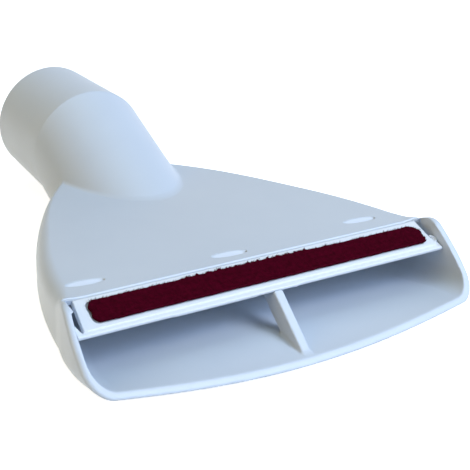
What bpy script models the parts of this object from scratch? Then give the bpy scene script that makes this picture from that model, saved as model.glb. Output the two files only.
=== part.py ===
"""Vacuum upholstery nozzle: one moulded body, a clip-in strip carrier and a velour lint strip.

World frame in metres: +X along the mouth, +Y from the mouth back to the hose spigot, +Z up.
The nozzle lies on its underside on Z = 0. Sections are described in millimetres by x, u and z,
where u is the distance behind the groove in which the top panel meets the strip carrier.
"""
import math

import bmesh
import bpy
import numpy as np

MM = 0.001

# Places and clearances, in millimetres; angles in degrees
GROOVE_Y = -52.2            # world Y of the groove
CLEARANCE = 0.3             # left between pieces that touch

# Fan-shaped body
WALL = 2.0
PANEL_HEIGHT = 19.75        # top panel at the groove
PANEL_FALL = 1.5            # slope of the top panel down towards the spigot
TOP_CORNER = 4.6            # outer radius between the top panel and the flanks
TOP_CORNER_AT_MOUTH = 1.2
TOP_CORNER_AT_NECK = 1.8
EAR_RISE = 1.4              # of the side walls above the panel, in front of the groove
BOTTOM_CORNER = 3.6         # outer radius between the flanks and the floor, at the lip
BOTTOM_CORNER_BEHIND = 8.0
BOTTOM_CORNER_LENGTH = 60.0
MOUTH_HALF_WIDTH = 59.2     # outside, at the height of the panel
FLANK_START = -18.0         # u at which the sides begin to leave the mouth's width
FLANK_END_HALF_WIDTH = 2.1  # to which they would draw in at the spigot's root
FLANK_LATE = 0.13           # share of the drawing in that comes late, along a cubic
FLARE = 0.9                 # extra half width of the mouth in front of the strip
FLARE_START = -14.0         # u up to which the mouth has all of it; none is left at the groove
BELLY = 4.1                 # drop of the lip from the sides of the mouth to its middle
BELLY_LENGTH = 36.0         # behind the lip, where the belly has run out
FLOOR_LIFT = 2.0            # rise of the floor behind the middle of the lip
FLOOR_LIFT_LENGTH = 18.0

# Rim of the mouth
RIM_ANGLE = 42.6            # slope of the rim below the horizontal
RIM_LIP_U = -28.8           # rim line at the height of the table
RIM_EAR_RADIUS = 2.2        # rounding where the rim turns back over the side walls

# Spigot and neck
SPIGOT_AXIS_HEIGHT = 20.1
SPIGOT_ROOT_U = 101.0
SPIGOT_ROOT_RADIUS = 19.7
SPIGOT_TIP_RADIUS = 18.5
SPIGOT_LENGTH = 31.4
SPIGOT_RISE = 2.7           # slope of the spigot's axis up towards its tip
SPIGOT_ROOT_WALL = 3.7
SPIGOT_TIP_WALL = 2.2
CREASE_LEAN = 5.5           # lean of the crease's plane, top towards the mouth
NECK_ANGLE = 25.6           # slope of the neck down towards the mouth
NECK_FRONT_RADIUS = 20.2
NECK_RUN = 45.0
NECK_FILLET = 2.2           # between the neck and the top panel; none lower down

# Strip carrier, measured down its sloping top face from the groove
STRIP_ANGLE = 25.1
CARRIER_WIDTH = 10.0
CARRIER_THICKNESS = 1.8
CARRIER_BACK_GAP = 2.5      # from its ends to the mouth's inner sides, at the groove
CARRIER_FRONT_GAP = 1.3     # and at its front edge
LIP_REACH = 1.4             # the front lip stands out this far
LIP_DROP = 0.8              # its front edge lies this far below the bar's top face
LIP_SET = 0.25
LIP_END_CLEARANCE = 0.35
RELIEF_SIDE = 4.6           # notch under the lip, past each side of the rib
RELIEF_HEIGHT = 0.6

# Velour strip
VELOUR_START = 1.8
VELOUR_WIDTH = 6.6
VELOUR_END_MARGIN = 2.7     # from its ends to the carrier's
VELOUR_THICKNESS = 1.3
POCKET_DEPTH = 0.6
VELOUR_END_RADIUS = 1.6

# Shelf under the carrier and rib of the mouth
SHELF_THICKNESS = 2.0
SHELF_FRONT = 9.2
BAY_STEP = 0.15             # of the bay's sides in front of the inner side walls
SHELF_END_GAP = 2.2         # open slot between the shelf and each side wall; wider at its back
RIB_HALF_THICKNESS = 1.4
RIB_DEPTH = 5.6
RIB_ANGLE = 40.0            # slope of its front and back edges
RIB_FOOT_U = -25.1          # front edge on the inside of the floor

# Lens-shaped recesses behind the groove, in a row that is a little off centre
RECESS_LEFT_INSET = 12.3    # middle of the left one from the side of the mouth
RECESS_RIGHT_INSET = 18.0
RECESS_MIDDLE_X = -5.0
RECESS_OUTER_U = 8.5
RECESS_MIDDLE_U = 6.0
RECESS_HALF_LENGTH = 5.7
RECESS_HALF_WIDTH = 1.25
RECESS_DEPTH = 1.1

# Mesh fineness
PANEL_COUNT = 18
CORNER_COUNT = 6
SIDE_COUNT = 4
MOUTH_RING_COUNT = 13
NECK_RING_COUNT = 24


def tan(angle):
    return math.tan(math.radians(angle))


def direction(angle):
    return math.cos(math.radians(angle)), math.sin(math.radians(angle))


def smooth(t):
    t = np.clip(t, 0.0, 1.0)
    return t * t * (3.0 - 2.0 * t)


def round_intersection(a, b, radius):
    """Signed distance to the overlap of two shapes, with the edge between them rounded."""
    inner = np.minimum(-radius, np.maximum(a, b))
    return inner + np.hypot(np.maximum(radius + a, 0.0), np.maximum(radius + b, 0.0))


def round_union(a, b, radius):
    """Signed distance to the union of two shapes, with a fillet where they meet."""
    outer = np.maximum(radius, np.minimum(a, b))
    return outer - np.hypot(np.maximum(radius - a, 0.0), np.maximum(radius - b, 0.0))


def panel_height(u):
    return PANEL_HEIGHT - tan(PANEL_FALL) * u


def wall_height(u):
    """Top of the section: the panel, and in front of it the slightly higher side walls."""
    return panel_height(u) + EAR_RISE * smooth(-u / 3.0)


def fan_half_width(u):
    """Plan outline: the mouth's width, drawn in along a cubic towards the spigot's root."""
    share = np.maximum(u - FLANK_START, 0.0) / (SPIGOT_ROOT_U - FLANK_START)
    drawn = (1.0 - FLANK_LATE) * share ** 2 + FLANK_LATE * share ** 3
    return MOUTH_HALF_WIDTH + (FLANK_END_HALF_WIDTH - MOUTH_HALF_WIDTH) * drawn


def floor_height(x, u):
    """Underside: bellied at the lip, and raised a little behind the middle of the lip."""
    behind = u - RIM_LIP_U
    lift = FLOOR_LIFT * smooth(behind / FLOOR_LIFT_LENGTH)
    lift = lift * (1.0 - smooth((u - 0.5 * SPIGOT_ROOT_U) / (0.45 * SPIGOT_ROOT_U)))
    belly = BELLY * (1.0 - smooth(behind / BELLY_LENGTH))
    share = np.minimum((x / MOUTH_HALF_WIDTH) ** 2, 1.0)
    return lift * (1.0 - share) + belly * share


def bottom_corner(u):
    share = smooth((u - RIM_LIP_U) / BOTTOM_CORNER_LENGTH)
    return BOTTOM_CORNER + (BOTTOM_CORNER_BEHIND - BOTTOM_CORNER) * share


def flare(u):
    """Extra half width that the side walls gain from the groove to the rim of the mouth."""
    return FLARE * (1.0 - smooth(1.0 - u / FLARE_START))


def top_corner(u):
    radius = TOP_CORNER_AT_MOUTH + (TOP_CORNER - TOP_CORNER_AT_MOUTH) * smooth((u + 3.0) / 14.0)
    return radius - (TOP_CORNER - TOP_CORNER_AT_NECK) * smooth((u / SPIGOT_ROOT_U - 0.4) / 0.35)


def fan_distance(x, u, z, inset):
    top = z - (wall_height(u) - inset)
    side = np.abs(x) - (fan_half_width(u) + flare(u) - inset)
    bottom = floor_height(x, u) + inset - z
    shape = round_intersection(top, side, np.maximum(top_corner(u) - inset, 0.5))
    return round_intersection(shape, bottom, bottom_corner(u) - inset)


def tube_distance(x, u, z, inner):
    """Spigot and neck. They meet in the crease's plane, where the neck turns down."""
    back, rise = u - SPIGOT_ROOT_U, z - SPIGOT_AXIS_HEIGHT
    root = SPIGOT_ROOT_RADIUS - (SPIGOT_ROOT_WALL if inner else 0.0)
    tip = SPIGOT_TIP_RADIUS - (SPIGOT_TIP_WALL if inner else 0.0)
    c, s = direction(SPIGOT_RISE)
    length = back * c + rise * s
    spigot = np.hypot(x, rise * c - back * s) - (root + (tip - root) * length / SPIGOT_LENGTH)
    c, s = direction(NECK_ANGLE)
    along = -(back * c + rise * s)
    front = NECK_FRONT_RADIUS - (WALL if inner else 0.0)
    radius = root + (front - root) * np.clip(along / NECK_RUN, 0.0, 1.0)
    squash = math.cos(math.radians(NECK_ANGLE - CREASE_LEAN))
    neck = (np.hypot(x, (rise * c - back * s) / squash) - radius) * squash
    ahead = -(back + rise * tan(CREASE_LEAN))
    return np.where(ahead > 0.0, neck, spigot)


def body_distance(x, u, z, inner):
    inset = WALL if inner else 0.0
    tube = tube_distance(x, u, z, inner)
    tube = np.where(u < SPIGOT_ROOT_U, np.maximum(tube, floor_height(x, u) + inset - z), tube)
    fillet = 0.02 + NECK_FILLET * smooth((z - 0.6 * PANEL_HEIGHT) / (0.4 * PANEL_HEIGHT))
    return round_union(fan_distance(x, u, z, inset), tube, fillet)


def fan_outline(u, inset):
    """Points round the fan's section, counter-clockwise from the middle of the right side."""
    half = max(float(fan_half_width(u)), 0.7 * SPIGOT_ROOT_RADIUS) - inset
    top, bottom = float(wall_height(u)) - inset, float(floor_height(half, u)) + inset
    upper, lower = max(float(top_corner(u)) - inset, 0.5), float(bottom_corner(u)) - inset
    quarter = (np.arange(CORNER_COUNT) + 0.5) / CORNER_COUNT * 0.5 * math.pi
    steps = (np.arange(PANEL_COUNT) + 0.5) / PANEL_COUNT * 2.0 - 1.0
    rise = (np.arange(SIDE_COUNT) + 0.5) / SIDE_COUNT
    low_end, high_end = bottom + lower, top - upper
    side = low_end + (high_end - low_end) * rise
    x = [np.full(SIDE_COUNT, half), half - upper + upper * np.cos(quarter), -steps * (half - upper),
         -(half - upper) - upper * np.sin(quarter), np.full(SIDE_COUNT, -half),
         -(half - lower) - lower * np.cos(quarter), steps * (half - lower), half - lower + lower * np.sin(quarter)]
    z = [side, high_end + upper * np.sin(quarter), np.full(PANEL_COUNT, top),
         high_end + upper * np.cos(quarter), side[::-1],
         low_end - lower * np.sin(quarter), np.full(PANEL_COUNT, bottom), low_end - lower * np.cos(quarter)]
    return np.concatenate(x), np.concatenate(z)


def section(u, lean, inner):
    """One ring of the body: points on its surface along rays in a plane that leans by lean degrees."""
    inset = WALL if inner else 0.0
    share = float(smooth((u / SPIGOT_ROOT_U - 0.35) / 0.55))
    x, z = fan_outline(u, inset)
    count = len(x)
    turn = 2.0 * math.pi * (np.arange(count) + 0.5) / count - math.pi * SIDE_COUNT / count
    centre = (1.0 - share) * 0.5 * float(panel_height(u)) + share * 0.8 * SPIGOT_AXIS_HEIGHT
    dx = (1.0 - share) * x + share * SPIGOT_ROOT_RADIUS * np.cos(turn)
    dz = (1.0 - share) * (z - centre) + share * SPIGOT_ROOT_RADIUS * np.sin(turn)
    length = np.hypot(dx, dz)
    dx, dz = dx / length, dz / length
    near, far = np.zeros(count), np.full(count, 2.0 * MOUTH_HALF_WIDTH)
    for _ in range(32):
        reach = 0.5 * (near + far)
        height = centre + reach * dz
        place = u - (height - SPIGOT_AXIS_HEIGHT) * tan(lean)
        inside = body_distance(reach * dx, place, height, inner) < 0.0
        near, far = np.where(inside, reach, near), np.where(inside, far, reach)
    height = centre + near * dz
    return near * dx, u - (height - SPIGOT_AXIS_HEIGHT) * tan(lean), height


def stations():
    """Places of the rings as (u, lean), closer together where the neck rises from the panel."""
    front = RIM_LIP_U - 6.0
    neck_start = 0.4 * SPIGOT_ROOT_U
    places = [(u, 0.0) for u in np.linspace(front, neck_start, MOUTH_RING_COUNT)]
    for step in range(1, NECK_RING_COUNT + 1):
        share = step / NECK_RING_COUNT
        places.append((neck_start + (SPIGOT_ROOT_U - neck_start) * share, CREASE_LEAN * float(smooth(share))))
    tip = SPIGOT_ROOT_U + SPIGOT_LENGTH * direction(SPIGOT_RISE)[0]
    places.append((0.5 * (SPIGOT_ROOT_U + tip), 0.5 * (CREASE_LEAN + SPIGOT_RISE)))
    places.append((tip, SPIGOT_RISE))
    return places


def world(x, u, z):
    return x * MM, GROOVE_Y * MM + u * MM, z * MM


def material(name, colour, roughness):
    made = bpy.data.materials.new(name)
    made.use_nodes = True
    shader = made.node_tree.nodes["Principled BSDF"]
    shader.inputs["Base Color"].default_value = (*colour, 1.0)
    shader.inputs["Roughness"].default_value = roughness
    shader.inputs["Metallic"].default_value = 0.0
    return made


def make_object(name, bm, made=None):
    bmesh.ops.recalc_face_normals(bm, faces=bm.faces)
    mesh = bpy.data.meshes.new(name)
    bm.to_mesh(mesh)
    bm.free()
    item = bpy.data.objects.new(name, mesh)
    bpy.context.collection.objects.link(item)
    if made:
        mesh.materials.append(made)
    return item


def make_operand(name, bm):
    """A helper solid that a Boolean modifier reads; it isn't part of the nozzle by itself."""
    item = make_object(name, bm)
    item.hide_render = True
    item.display_type = "WIRE"
    return item


def boolean(item, operand, operation):
    step = item.modifiers.new(operand.name, "BOOLEAN")
    step.operation = operation
    step.solver = "EXACT"
    step.object = operand


def loft(rings, closed):
    """Skin a row of equal rings with quads. A closed row also joins the last ring to the first."""
    bm = bmesh.new()
    loops = [[bm.verts.new(world(*point)) for point in zip(*ring)] for ring in rings]
    pairs = list(zip(loops, loops[1:]))
    if closed:
        pairs.append((loops[-1], loops[0]))
    for first, second in pairs:
        count = len(first)
        for i in range(count):
            j = (i + 1) % count
            bm.faces.new((first[i], first[j], second[j], second[i]))
    if not closed:
        bm.faces.new(loops[0])
        bm.faces.new(loops[-1])
    return bm


def prism(profile, half_front, half_back=None):
    """Extrude a profile of (u, z) points across the nozzle, from -half to +half."""
    half_back = half_front if half_back is None else half_back
    rings = []
    for side in (-1.0, 1.0):
        u = np.array([point[0] for point in profile])
        z = np.array([point[1] for point in profile])
        share = np.clip((u - u.min()) / (u.max() - u.min()), 0.0, 1.0)
        rings.append((side * (half_front + (half_back - half_front) * share), u, z))
    return loft(rings, closed=False)


def on_strip(s, t):
    """(u, z) of a point s down the strip's plane from the groove and t above it."""
    c, k = direction(STRIP_ANGLE)
    return -s * c - t * k, PANEL_HEIGHT - s * k + t * c


def rim_point(along, behind=0.0):
    """(u, z) of a point up the rim's line from the table, and behind the rim's plane."""
    c, s = direction(RIM_ANGLE)
    return RIM_LIP_U + along * c + behind * s, along * s - behind * c


def inner_half_width():
    return MOUTH_HALF_WIDTH - WALL


def carrier_back_half():
    return inner_half_width() - CARRIER_BACK_GAP


def velour_half():
    return carrier_back_half() - VELOUR_END_MARGIN


def recess_places():
    return ((RECESS_LEFT_INSET - MOUTH_HALF_WIDTH, RECESS_OUTER_U), (RECESS_MIDDLE_X, RECESS_MIDDLE_U),
            (MOUTH_HALF_WIDTH - RECESS_RIGHT_INSET, RECESS_OUTER_U))


def shelf_top():
    return -(CARRIER_THICKNESS + CLEARANCE)


def body_shell():
    places = stations()
    outer = [section(u, lean, False) for u, lean in places]
    inner = [section(u, lean, True) for u, lean in reversed(places)]
    return loft(outer + inner, closed=True)


def shelf_solid():
    """Shelf that carries the strip carrier. It grows out of the panel's front edge."""
    top, bottom = shelf_top() + 0.6, shelf_top() - SHELF_THICKNESS
    start = 0.8 * WALL
    end = 3.0 * WALL
    under = panel_height(end) - 0.5 * WALL
    profile = [on_strip(SHELF_FRONT, top), (start, panel_height(start) - 0.5 * WALL), (end, under),
               (end, under - WALL), on_strip(-0.5, bottom), on_strip(SHELF_FRONT, bottom)]
    return prism(profile, inner_half_width() - SHELF_END_GAP, inner_half_width() - 3.0 * SHELF_END_GAP)


def rib_solid():
    """Slanted rib between the floor and the shelf, in the middle of the mouth."""
    c, k = direction(RIB_ANGLE)
    front_head = on_strip(CARRIER_WIDTH + LIP_REACH, -LIP_SET)[1]
    back_head = on_strip(0.0, shelf_top() - 0.6 * SHELF_THICKNESS)[1]
    profile = []
    for u, level in ((RIB_FOOT_U, front_head), (RIB_FOOT_U + RIB_DEPTH / k, back_head)):
        foot = floor_height(0.0, u) + 0.5 * WALL
        start = (u + (foot - floor_height(0.0, RIB_FOOT_U) - WALL) * c / k, foot)
        profile.append((start, (start[0] + (level - foot) * c / k, level)))
    (front_foot, front_head), (back_foot, back_head) = profile
    return prism([front_foot, front_head, back_head, back_foot], RIB_HALF_THICKNESS)


def rim_cutter():
    """Everything in front of the rim's plane. The cut turns up over the side walls in an arc."""
    c, s = direction(RIM_ANGLE)
    ear_height = PANEL_HEIGHT + EAR_RISE + 0.3
    corner_u = RIM_LIP_U + ear_height * c / s
    reach = RIM_EAR_RADIUS * math.tan(0.5 * math.radians(RIM_ANGLE))
    start = (corner_u - reach * c, ear_height - reach * s)
    profile = [rim_point(-14.0), start]
    for step in range(1, 6):
        turn = math.radians(RIM_ANGLE) * (1.0 - step / 5.0)
        centre = (corner_u + reach, ear_height - RIM_EAR_RADIUS)
        profile.append((centre[0] - RIM_EAR_RADIUS * math.sin(turn), centre[1] + RIM_EAR_RADIUS * math.cos(turn)))
    profile += [(profile[-1][0] + 1.0, ear_height + 0.01), (profile[-1][0] + 1.0, ear_height + 20.0),
                (RIM_LIP_U - 30.0, ear_height + 20.0), (RIM_LIP_U - 30.0, rim_point(-14.0)[1])]
    return prism(profile, MOUTH_HALF_WIDTH + 10.0)


def bay_cutter():
    """The open bay above the shelf, between the side walls. The rib passes in front of the strip's lip."""
    floor, above = shelf_top(), 0.5 * PANEL_HEIGHT
    notch = RELIEF_HEIGHT - CARRIER_THICKNESS - CLEARANCE
    step = SHELF_FRONT + CLEARANCE
    front = CARRIER_WIDTH + LIP_REACH + CLEARANCE
    profile = [on_strip(0.0, above), on_strip(0.0, floor), on_strip(step, floor), on_strip(step, notch),
               on_strip(front, notch), on_strip(front, above)]
    return prism(profile, inner_half_width() - BAY_STEP)


def recess_cutter(x, u):
    """Lens-shaped cutter. Its floor is deepest at the front and runs out towards the back."""
    bm = bmesh.new()
    steps = 10
    front, back = [], []
    for i in range(steps + 1):
        t = -1.0 + 2.0 * i / steps
        reach = max(RECESS_HALF_WIDTH * (1.0 - t * t), 0.02)
        front.append((x + t * RECESS_HALF_LENGTH, u - reach))
        back.append((x + t * RECESS_HALF_LENGTH, u + reach))
    outline = front + back[::-1]
    rings = []
    for level in (1.0, -1.0):
        xs = np.array([p[0] for p in outline])
        us = np.array([p[1] for p in outline])
        depth = 0.12 + RECESS_DEPTH * (RECESS_HALF_WIDTH - (us - u)) / (2.0 * RECESS_HALF_WIDTH)
        zs = panel_height(us) + (2.0 if level > 0.0 else -depth)
        rings.append((xs, us, zs))
    bm.free()
    return loft(rings, closed=False)


def carrier_solid():
    """Bar with a front lip. Its ends follow the taper of the mouth."""
    low = -CARRIER_THICKNESS
    bar = [on_strip(CLEARANCE, 0.0), on_strip(CARRIER_WIDTH, 0.0), on_strip(CARRIER_WIDTH, low), on_strip(CLEARANCE, low)]
    return prism(bar[::-1], inner_half_width() - CARRIER_FRONT_GAP, carrier_back_half())


def lip_solid():
    """Front lip, a little longer than the bar, set back from its top face and its underside."""
    low = LIP_SET - CARRIER_THICKNESS
    front = CARRIER_WIDTH + LIP_REACH
    root = CARRIER_WIDTH - 3.0
    profile = [on_strip(root, -LIP_SET), on_strip(CARRIER_WIDTH - 2.0 * LIP_SET, -LIP_SET), on_strip(front, -LIP_DROP),
               on_strip(front, low + LIP_SET), on_strip(front - LIP_SET, low), on_strip(root, low)]
    half = inner_half_width() - LIP_END_CLEARANCE
    return prism(profile, half + float(flare(profile[2][0])), half)


def strip_plate(s0, s1, half, bottom, top, radius):
    """Plate in the strip's plane with rounded ends, between two heights above that plane."""
    outline = []
    steps = 4
    for sx, ss, first in ((1, 1, 0), (-1, 1, 1), (-1, -1, 2), (1, -1, 3)):
        cx = sx * (half - radius)
        cs = 0.5 * (s0 + s1) + ss * (0.5 * (s1 - s0) - radius)
        for i in range(steps + 1):
            turn = 0.5 * math.pi * (first + i / steps)
            outline.append((cx + radius * math.cos(turn), cs + radius * math.sin(turn)))
    rings = []
    for level in (bottom, top):
        x = np.array([point[0] for point in outline])
        places = [on_strip(point[1], level) for point in outline]
        rings.append((x, np.array([p[0] for p in places]), np.array([p[1] for p in places])))
    return loft(rings, closed=False)


def relief_cutter():
    """Notch under the lip where the rib comes up."""
    low = -CARRIER_THICKNESS
    front = CARRIER_WIDTH + LIP_REACH
    profile = [on_strip(CARRIER_WIDTH - 0.9, low + RELIEF_HEIGHT), on_strip(front + 2.0, low + RELIEF_HEIGHT),
               on_strip(front + 2.0, low - 2.0), on_strip(CARRIER_WIDTH - 0.9, low - 2.0)]
    return prism(profile, RIB_HALF_THICKNESS + RELIEF_SIDE)


def build_body():
    body = make_object("nozzle_body", body_shell(), material("pale_plastic", (0.80, 0.82, 0.85), 0.38))
    boolean(body, make_operand("shelf_operand", shelf_solid()), "UNION")
    boolean(body, make_operand("rib_operand", rib_solid()), "UNION")
    boolean(body, make_operand("bay_cutter", bay_cutter()), "DIFFERENCE")
    boolean(body, make_operand("rim_cutter", rim_cutter()), "DIFFERENCE")
    for number, (x, u) in enumerate(recess_places(), 1):
        boolean(body, make_operand(f"recess_cutter_{number}", recess_cutter(x, u)), "DIFFERENCE")
    return body


def build_carrier():
    carrier = make_object("strip_carrier", carrier_solid(), material("white_plastic", (0.88, 0.90, 0.92), 0.32))
    boolean(carrier, make_operand("lip_operand", lip_solid()), "UNION")
    pocket = strip_plate(VELOUR_START - CLEARANCE, VELOUR_START + VELOUR_WIDTH + CLEARANCE,
                         velour_half() + CLEARANCE, -POCKET_DEPTH, 1.0, VELOUR_END_RADIUS)
    boolean(carrier, make_operand("pocket_cutter", pocket), "DIFFERENCE")
    boolean(carrier, make_operand("relief_cutter", relief_cutter()), "DIFFERENCE")
    return carrier


def build_velour():
    base = CLEARANCE - POCKET_DEPTH
    plate = strip_plate(VELOUR_START, VELOUR_START + VELOUR_WIDTH, velour_half(),
                        base, base + VELOUR_THICKNESS, VELOUR_END_RADIUS)
    return make_object("velour_strip", plate, material("burgundy_velour", (0.055, 0.002, 0.008), 0.95))


def main():
    for item in list(bpy.data.objects):
        bpy.data.objects.remove(item, do_unlink=True)
    for item in (build_body(), build_carrier(), build_velour()):
        item.data.shade_smooth()
        item.data.set_sharp_from_angle(angle=math.radians(30.0))


main()
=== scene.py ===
"""Looks of the vacuum upholstery nozzle: fine moulded surfaces, velour pile, materials, camera and studio.

Lengths are in millimetres in a frame of x, u and z, where u is the distance behind the groove in which the
top panel meets the strip carrier. On the strip, s runs down its sloping top face from the groove and t
stands up from that face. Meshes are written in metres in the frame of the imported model.
"""
import math
import random

import bpy
import numpy as np
from mathutils import Matrix, Vector

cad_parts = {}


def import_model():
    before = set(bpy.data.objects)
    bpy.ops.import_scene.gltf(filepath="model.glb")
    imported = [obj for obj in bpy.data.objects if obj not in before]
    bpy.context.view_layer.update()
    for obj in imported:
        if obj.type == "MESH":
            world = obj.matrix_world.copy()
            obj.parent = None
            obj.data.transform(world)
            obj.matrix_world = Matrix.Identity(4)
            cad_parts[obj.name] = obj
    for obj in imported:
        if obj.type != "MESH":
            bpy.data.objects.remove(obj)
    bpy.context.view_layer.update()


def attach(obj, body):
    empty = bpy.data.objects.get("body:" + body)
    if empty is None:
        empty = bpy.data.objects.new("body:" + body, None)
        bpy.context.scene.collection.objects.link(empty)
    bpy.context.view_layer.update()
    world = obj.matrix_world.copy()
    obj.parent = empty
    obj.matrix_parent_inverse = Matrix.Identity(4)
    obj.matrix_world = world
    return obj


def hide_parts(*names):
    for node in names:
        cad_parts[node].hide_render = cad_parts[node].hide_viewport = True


MM = 0.001
GROOVE_Y = -52.2

# The fan: panel, edges, plan outline and floor
WALL = 2.0
PANEL_HEIGHT = 19.75
PANEL_FALL = 1.5
TOP_CORNER = 4.6
TOP_CORNER_AT_MOUTH = 2.0
TOP_CORNER_AT_NECK = 1.8
TOP_CORNER_START = -3.0
TOP_CORNER_LENGTH = 14.0
TOP_CORNER_NECK_START_SHARE = 0.4
TOP_CORNER_NECK_LENGTH_SHARE = 0.35
LEAST_TOP_CORNER = 0.5
EAR_RISE = 1.4
EAR_RISE_LENGTH = 3.0
BOTTOM_CORNER = 5.8
BOTTOM_CORNER_BEHIND = 8.0
BOTTOM_CORNER_LENGTH = 40.0
BOTTOM_CORNER_INSET_SHARE = 0.3
MOUTH_HALF_WIDTH = 59.2
FLANK_START = -18.0
FLANK_END_HALF_WIDTH = 2.1
FLANK_LATE = 0.13
FLARE = 0.9
FLARE_START = -14.0
BELLY = 4.1
BELLY_LENGTH = 36.0
FLOOR_LIFT = 2.0
FLOOR_LIFT_LENGTH = 18.0
FLOOR_SINK_START_SHARE = 0.5
FLOOR_SINK_LENGTH_SHARE = 0.45

# The mouth's rim, its ears and its uneven sides
RIM_ANGLE = 42.6
RIM_LIP_U = -28.8
RIM_EAR_RADIUS = 2.2
RIM_ROUNDING = 1.3
RIM_INNER_ROUNDING = 0.25
RIM_END_U = 1.0
RIM_END_SLOPE = 4.0
EAR_START_X = 51.0
EAR_LIFT = 2.3
EAR_LIFT_START = 5.0
EAR_LIFT_LENGTH = 10.0
LEFT_LEAN = 0.9
RIGHT_LEAN = 0.6
RIGHT_LEAN_BOTTOM = 5.0
RIGHT_LEAN_HEIGHT = 8.0
LEAN_START = 5.0
LEAN_LENGTH = 9.0

# The spigot and the neck
SPIGOT_AXIS_HEIGHT = 20.1
SPIGOT_ROOT_U = 101.0
SPIGOT_ROOT_RADIUS = 19.7
SPIGOT_TIP_RADIUS = 18.5
SPIGOT_LENGTH = 31.4
SPIGOT_RISE = 2.7
SPIGOT_ROOT_WALL = 3.7
SPIGOT_TIP_WALL = 2.2
SPIGOT_END_ROUNDING = 0.5
CREASE_LEAN = 5.5
CREASE_ROUNDING = 0.8
NECK_ANGLE = 25.6
NECK_FRONT_RADIUS = 20.2
NECK_RUN = 45.0
NECK_FILLET = 0.9
LEAST_FILLET = 0.02
FILLET_START_SHARE = 0.6
FILLET_RISE_SHARE = 0.4

# The strip's slope, and the shelf, rib and bay under it
STRIP_ANGLE = 25.1
SHELF_TOP = -2.1
SHELF_THICKNESS = 2.0
SHELF_FRONT = 9.2
SHELF_FRONT_STEP = 0.6
SHELF_RAMP_U = 1.6
SHELF_BACK_U = 6.0
SHELF_BACK_S = -0.5
SHELF_END_GAP = 2.2
SHELF_GAP_GROWTH = 2.0
SHELF_GAP_START = -8.0
SHELF_GAP_LENGTH = 14.0
SHELF_ROUNDING = 0.3
SHELF_FILLET = 0.4
RIB_HALF_THICKNESS = 1.4
RIB_DEPTH = 5.6
RIB_ANGLE = 40.0
RIB_FOOT_U = -25.1
RIB_TOP_T = -0.25
RIB_BEHIND_GROOVE = 1.0
RIB_ROUNDING = 0.4
RIB_FILLET = 0.7
CLEARANCE = 0.3
BAY_ROUNDING = 0.18
BAY_SIDE_INSET = 0.15
BAY_LEFT_INSET = 0.35
BAY_LEFT_WAVE = 0.2
BAY_LEFT_WAVE_RATE = 0.95
BAY_LEFT_WAVE_PHASE = 1.2
BAY_LEFT_WAVE_START = 3.0

# The lens-shaped recesses, by the (x, u) of their middles
RECESSES = ((-46.9, 8.5), (-5.0, 6.0), (41.2, 8.5))
RECESS_HALF_LENGTH = 5.3
RECESS_HALF_WIDTH = 1.6
RECESS_DEPTH = 1.05
RECESS_BACK_DEPTH = 0.05
RECESS_DEEPER_ON_RIGHT = 0.35
RECESS_TURN = 0.08
RECESS_SLOPE = 0.8
RECESS_CLIP = 1.5
RECESS_LEAST_REACH = 0.5
RECESS_ROUNDING = 0.2
RECESS_ZONE = 3.0

# The strip carrier: bar, front lip, hook at its right end, pocket and relief for the rib
CARRIER_WIDTH = 10.0
CARRIER_THICKNESS = 1.8
CARRIER_BACK = 0.06
CARRIER_BACK_HALF = 54.7
CARRIER_FRONT_HALF = 55.9
CARRIER_TAPER_END = 1.1
CARRIER_ROUNDING = 0.25
LIP_REACH = 1.4
LIP_BACK_HALF = 56.85
LIP_FRONT_HALF = 57.5
LIP_SIDES_START = 7.0
LIP_SIDES_LENGTH = 4.4
LIP_BACK_STEP = 3.0
LIP_BACK_SLOPE = 0.5
LIP_DROP = 0.25
LIP_ROUNDING = 0.45
LIP_END_ROUNDING = 0.3
LIP_FILLET = 0.3
LIP_SWELL = 0.18
LIP_SWELL_LEFT = -32.0
LIP_SWELL_LEFT_LENGTH = 2.0
LIP_SWELL_RIGHT = 6.5
LIP_SWELL_RIGHT_LENGTH = 1.0
WEDGE_TIP_S = 5.2
WEDGE_SLOPE = 2.1
WEDGE_WAVE = 0.35
WEDGE_WAVE_RATE = 3.2
WEDGE_REACH = 2.0
HOOK_S = 7.8
HOOK_INSET = 0.1
HOOK_RADIUS = 1.25
HOOK_HALF_WIDTH = 0.28
HOOK_OVERLAP = 0.2
HOOK_DROP = 0.3
HOOK_HALF_HEIGHT = 0.35
HOOK_ROUNDING = 0.2
HOOK_FILLET = 0.15
POCKET_X = 0.35
POCKET_END_GAP = 0.65
POCKET_SIDE_GAP = 0.3
POCKET_CORNER = 1.6
POCKET_DEPTH = 0.6
POCKET_ROUNDING = 0.15
RELIEF_HEIGHT = 0.6
RELIEF_HALF = 6.0
RELIEF_BEHIND_FRONT = 0.9
RELIEF_ROUNDING = 0.2

# The velour strip: a wave is (seed, wavelengths, size), each of its phases up to MOST_PHASE radians
MOST_PHASE = 6.28
VELOUR_START = 1.8
VELOUR_WIDTH = 6.6
VELOUR_HALF = 52.0
VELOUR_TOP = 0.75
VELOUR_BOTTOM = -0.3
VELOUR_OVERLAP = 0.1
VELOUR_ROUNDING = 0.35
VELOUR_BACK_WAVE = (3, (9.0, 4.1, 2.3, 1.3), 0.2)
VELOUR_FRONT_WAVE = (5, (13.0, 5.3, 2.9), 0.12)
VELOUR_LEFT_WAVE = (7, (5.0, 2.4), 0.3)
VELOUR_RIGHT_WAVE = (9, (4.0, 2.1), 0.25)
VELOUR_LUMPS_ALONG = (11, (3.1, 1.7), 0.06)
VELOUR_LUMPS_ACROSS = (13, (2.2, 1.1), 0.05)
VELOUR_LEFT_CORNER = 2.1
VELOUR_RIGHT_CORNER = 0.7
VELOUR_RIGHT_REACH = 1.35
VELOUR_BACK_SETBACK = 0.25
VELOUR_SETBACK_START = 8.0
VELOUR_SETBACK_LENGTH = 20.0
CHIP_SLOPE = 1.3
CHIP_END_S = 3.8
RAGGED_START = -27.0
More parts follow.
